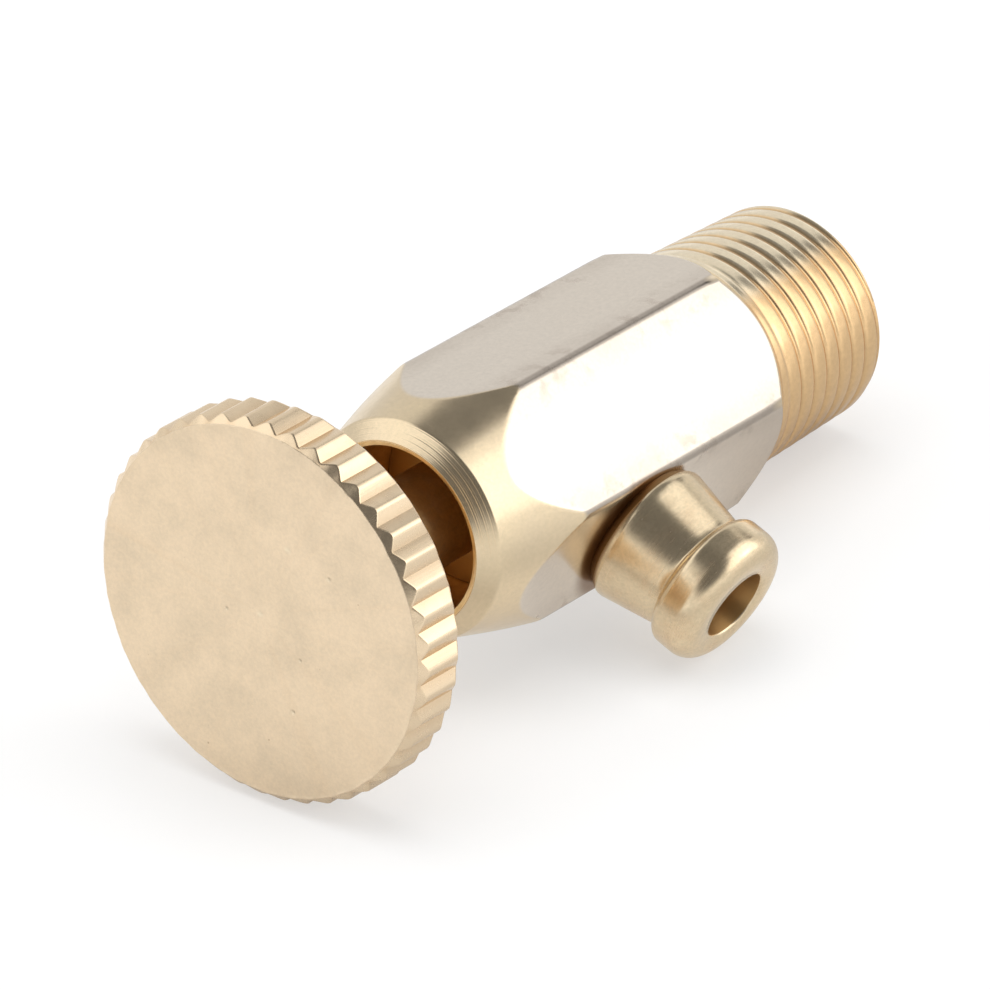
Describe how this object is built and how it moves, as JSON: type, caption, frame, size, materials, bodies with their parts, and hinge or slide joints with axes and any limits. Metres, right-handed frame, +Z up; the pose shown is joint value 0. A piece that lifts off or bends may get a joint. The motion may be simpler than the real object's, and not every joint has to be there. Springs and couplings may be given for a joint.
{
  "type": "needle valve",
  "caption": "Brass needle valve with a hexagon body, taper pipe thread, side hose nipple and knurled thumb knob that screws the needle off its seat.",
  "frame": {"origin": "centre of the bottom of the valve's box as it lies on a table, on the knob's rim, the nipple's bead and the end of the pipe thread", "axes": "+X from the knob towards the pipe thread, level; -Y the side that the hose nipple points to; +Z up from the table. The valve axis itself leans about 6.0 degrees, knob end up, because the knob is larger than the thread"},
  "size_m": [0.0358, 0.0184, 0.0161],
  "materials": {
    "body_brass": "machined from drawn hexagon bar, bright and slightly satin",
    "nipple_brass": "turned and bright",
    "gland_brass": "turned",
    "spindle_brass": "turned and bright",
    "knob_brass": "satin face, bright straight knurl",
    "needle_steel": "ground",
    "pin_steel": "plain",
    "packing": "white PTFE"
  },
  "bodies": {
    "body": {"valve_body": "body_brass", "hose_nipple": "nipple_brass", "packing_washer": "gland_brass", "packing_ring_1": "packing", "packing_ring_2": "packing", "gland_nut": "gland_brass"},
    "needle": {"needle": "needle_steel", "needle_clip": "needle_steel"},
    "spindle": {"spindle": "spindle_brass", "thumb_knob": "knob_brass", "knob_pin": "pin_steel"}
  },
  "joints": [
    {"name": "needle_lift", "type": "slide", "parent": "body", "child": "needle", "axis": [-0.9945, 0, 0.1045], "range_m": [-0.0032, 0.0002]},
    {"name": "knob_turn", "type": "hinge", "parent": "needle", "child": "spindle", "pos_m": [-0.01711, 0.00116, 0.00818], "axis": [-0.9945, 0, 0.1045], "range_deg": [-1440, 90]}
  ],
  "couplings": [
    {"joint": "knob_turn", "follows": "needle_lift", "rad_per_m": 7854}
  ]
}
